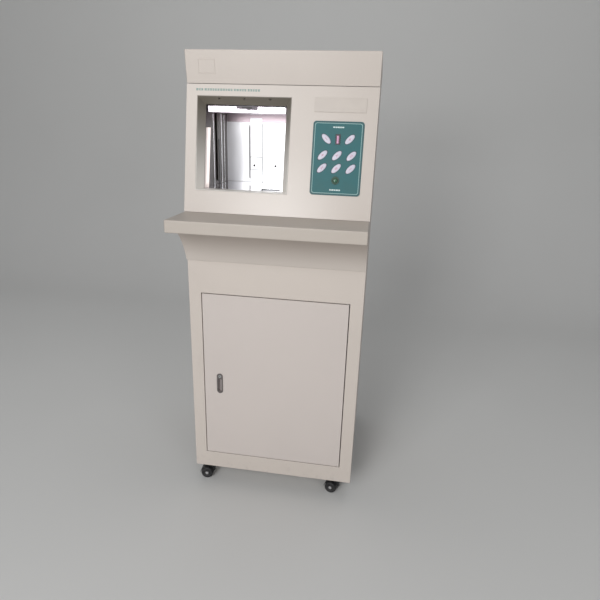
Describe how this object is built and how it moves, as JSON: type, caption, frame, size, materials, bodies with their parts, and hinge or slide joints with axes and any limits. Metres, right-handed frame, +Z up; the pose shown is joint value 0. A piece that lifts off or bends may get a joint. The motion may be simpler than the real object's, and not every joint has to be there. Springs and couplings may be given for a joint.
{
  "type": "banknote bundle strapping machine",
  "caption": "Floor-standing cabinet with a sloping console, keypad and windowed chamber where a press plate squeezes a banknote bundle for strapping, on castors with a door below.",
  "frame": {"origin": "on the floor under the middle of the machine's outline", "axes": "+X to the right as the user faces it, +Y from the front to the back, +Z up"},
  "size_m": [0.48, 0.6292, 1.2371],
  "materials": {
    "cream_paint": "semi-gloss textured powder coat",
    "zinc_steel": "zinc plated",
    "polished_steel": "mirror-polished stainless steel",
    "ground_steel": "ground",
    "silver_label": "satin printed plate",
    "teal_film": "fine matte film",
    "display_lens": "smoked red lens",
    "green_plastic": "gloss",
    "motor_paint": "satin",
    "black_plastic": "fine matte",
    "castor_tread": "moulded nylon",
    "feed_rubber": "matte",
    "strap_band": "wound paper band",
    "grey_casting": "satin grey casting",
    "white_key": "satin film"
  },
  "bodies": {
    "cabinet": {"base_pan": "cream_paint", "left_side_panel": "cream_paint", "right_side_panel": "cream_paint", "back_panel": "cream_paint", "front_frame": "cream_paint", "cove_apron": "cream_paint", "shelf": "cream_paint", "lid_hinge": "zinc_steel", "door_hinge_rod": "zinc_steel", "console_panel": "cream_paint", "window_bezel": "cream_paint", "name_plate": "silver_label", "keypad_plate": "teal_film", "display_window": "display_lens", "start_button_collar": "green_plastic", "deck_plate": "zinc_steel", "chamber_floor": "polished_steel", "chamber_left_wall": "polished_steel", "chamber_right_wall": "polished_steel", "chamber_back_wall": "polished_steel", "strap_track_strip": "polished_steel", "guide_column_left": "ground_steel", "guide_column_right": "ground_steel", "press_bridge": "zinc_steel", "press_motor": "motor_paint", "strap_head_frame": "ground_steel", "reel_stand": "zinc_steel", "control_box": "zinc_steel", "power_inlet": "black_plastic", "castor_plate_front_left": "zinc_steel", "castor_plate_front_right": "zinc_steel", "castor_plate_rear_left": "zinc_steel", "castor_plate_rear_right": "zinc_steel"},
    "lid": {"top_cover": "cream_paint"},
    "door": {"cabinet_door": "cream_paint", "door_pull": "grey_casting"},
    "lock": {"lock_cam": "zinc_steel"},
    "press": {"press_plate": "polished_steel"},
    "press_screw": {"press_screw": "ground_steel"},
    "feed_wheel": {"feed_wheel": "feed_rubber"},
    "pressure_wheel": {"pressure_wheel": "ground_steel"},
    "strap_reel": {"strap_reel": "strap_band"},
    "key_1": {"key_1": "white_key"},
    "key_2": {"key_2": "white_key"},
    "key_3": {"key_3": "white_key"},
    "key_4": {"key_4": "white_key"},
    "key_5": {"key_5": "white_key"},
    "key_6": {"key_6": "white_key"},
    "key_7": {"key_7": "white_key"},
    "key_8": {"key_8": "white_key"},
    "start_button": {"start_button": "green_plastic"},
    "power_switch": {"power_switch": "black_plastic"},
    "castor_front_left": {"castor_hood_front_left": "black_plastic"},
    "wheels_front_left": {"castor_wheels_front_left": "castor_tread"},
    "castor_front_right": {"castor_hood_front_right": "black_plastic"},
    "wheels_front_right": {"castor_wheels_front_right": "castor_tread"},
    "castor_rear_left": {"castor_hood_rear_left": "black_plastic"},
    "wheels_rear_left": {"castor_wheels_rear_left": "castor_tread"},
    "castor_rear_right": {"castor_hood_rear_right": "black_plastic"},
    "wheels_rear_right": {"castor_wheels_rear_right": "castor_tread"}
  },
  "joints": [
    {"name": "lid_tilt", "type": "hinge", "parent": "cabinet", "child": "lid", "pos_m": [0, 0.31015, 1.16154], "axis": [-1, 0, 0], "range_deg": [0, 70]},
    {"name": "door_swing", "type": "hinge", "parent": "cabinet", "child": "door", "pos_m": [0.198, -0.16965, 0.1132], "axis": [0, 0, 1], "range_deg": [0, 105]},
    {"name": "lock_turn", "type": "hinge", "parent": "door", "child": "lock", "pos_m": [-0.1575, -0.17465, 0.3749], "axis": [0, 1, 0], "range_deg": [0, 90]},
    {"name": "press_travel", "type": "slide", "parent": "cabinet", "child": "press", "axis": [0, 0, -1], "range_m": [0, 0.11]},
    {"name": "press_screw_turn", "type": "hinge", "parent": "cabinet", "child": "press_screw", "pos_m": [0.0354, 0.00935, 0.8576], "axis": [0, 0, 1], "range_deg": [0, 3961]},
    {"name": "feed_wheel_turn", "type": "hinge", "parent": "cabinet", "child": "feed_wheel", "pos_m": [-0.0486, -0.14437, 0.88263], "axis": [0, 1, 0], "continuous": true},
    {"name": "pressure_wheel_turn", "type": "hinge", "parent": "cabinet", "child": "pressure_wheel", "pos_m": [-0.026, -0.14437, 0.88263], "axis": [0, 1, 0], "continuous": true},
    {"name": "strap_reel_turn", "type": "hinge", "parent": "cabinet", "child": "strap_reel", "pos_m": [0, 0.07535, 0.3], "axis": [1, 0, 0], "continuous": true},
    {"name": "key_1_press", "type": "slide", "parent": "cabinet", "child": "key_1", "axis": [0, 0.9839, -0.1788], "range_m": [0, 0.0005], "stiffness_N_per_m": 400},
    {"name": "key_2_press", "type": "slide", "parent": "cabinet", "child": "key_2", "axis": [0, 0.9839, -0.1788], "range_m": [0, 0.0005], "stiffness_N_per_m": 400},
    {"name": "key_3_press", "type": "slide", "parent": "cabinet", "child": "key_3", "axis": [0, 0.9839, -0.1788], "range_m": [0, 0.0005], "stiffness_N_per_m": 400},
    {"name": "key_4_press", "type": "slide", "parent": "cabinet", "child": "key_4", "axis": [0, 0.9839, -0.1788], "range_m": [0, 0.0005], "stiffness_N_per_m": 400},
    {"name": "key_5_press", "type": "slide", "parent": "cabinet", "child": "key_5", "axis": [0, 0.9839, -0.1788], "range_m": [0, 0.0005], "stiffness_N_per_m": 400},
    {"name": "key_6_press", "type": "slide", "parent": "cabinet", "child": "key_6", "axis": [0, 0.9839, -0.1788], "range_m": [0, 0.0005], "stiffness_N_per_m": 400},
    {"name": "key_7_press", "type": "slide", "parent": "cabinet", "child": "key_7", "axis": [0, 0.9839, -0.1788], "range_m": [0, 0.0005], "stiffness_N_per_m": 400},
    {"name": "key_8_press", "type": "slide", "parent": "cabinet", "child": "key_8", "axis": [0, 0.9839, -0.1788], "range_m": [0, 0.0005], "stiffness_N_per_m": 400},
    {"name": "start_button_press", "type": "slide", "parent": "cabinet", "child": "start_button", "axis": [0, 0.9839, -0.1788], "range_m": [0, 0.0025], "stiffness_N_per_m": 300},
    {"name": "power_switch_rock", "type": "hinge", "parent": "cabinet", "child": "power_switch", "pos_m": [0.15, 0.30465, 0.144], "axis": [1, 0, 0], "range_deg": [0, 14]},
    {"name": "castor_front_left_swivel", "type": "hinge", "parent": "cabinet", "child": "castor_front_left", "pos_m": [-0.199, -0.14165, 0.056], "axis": [0, 0, 1], "continuous": true},
    {"name": "castor_front_left_roll", "type": "hinge", "parent": "castor_front_left", "child": "wheels_front_left", "pos_m": [-0.21396, -0.1427, 0.018], "axis": [0.0698, -0.9976, 0], "continuous": true},
    {"name": "castor_front_right_swivel", "type": "hinge", "parent": "cabinet", "child": "castor_front_right", "pos_m": [0.199, -0.14165, 0.056], "axis": [0, 0, 1], "continuous": true},
    {"name": "castor_front_right_roll", "type": "hinge", "parent": "castor_front_right", "child": "wheels_front_right", "pos_m": [0.18445, -0.13802, 0.018], "axis": [-0.2419, -0.9703, 0], "continuous": true},
    {"name": "castor_rear_left_swivel", "type": "hinge", "parent": "cabinet", "child": "castor_rear_left", "pos_m": [-0.199, 0.27235, 0.056], "axis": [0, 0, 1], "continuous": true},
    {"name": "castor_rear_left_roll", "type": "hinge", "parent": "castor_rear_left", "child": "wheels_rear_left", "pos_m": [-0.21389, 0.27418, 0.018], "axis": [-0.1219, -0.9925, 0], "continuous": true},
    {"name": "castor_rear_right_swivel", "type": "hinge", "parent": "cabinet", "child": "castor_rear_right", "pos_m": [0.199, 0.27235, 0.056], "axis": [0, 0, 1], "continuous": true},
    {"name": "castor_rear_right_roll", "type": "hinge", "parent": "castor_rear_right", "child": "wheels_rear_right", "pos_m": [0.18428, 0.26949, 0.018], "axis": [0.1908, -0.9816, 0], "continuous": true}
  ],
  "couplings": [
    {"joint": "press_screw_turn", "follows": "press_travel", "rad_per_m": 628.32},
    {"joint": "pressure_wheel_turn", "follows": "feed_wheel_turn", "ratio": -1.4444}
  ]
}
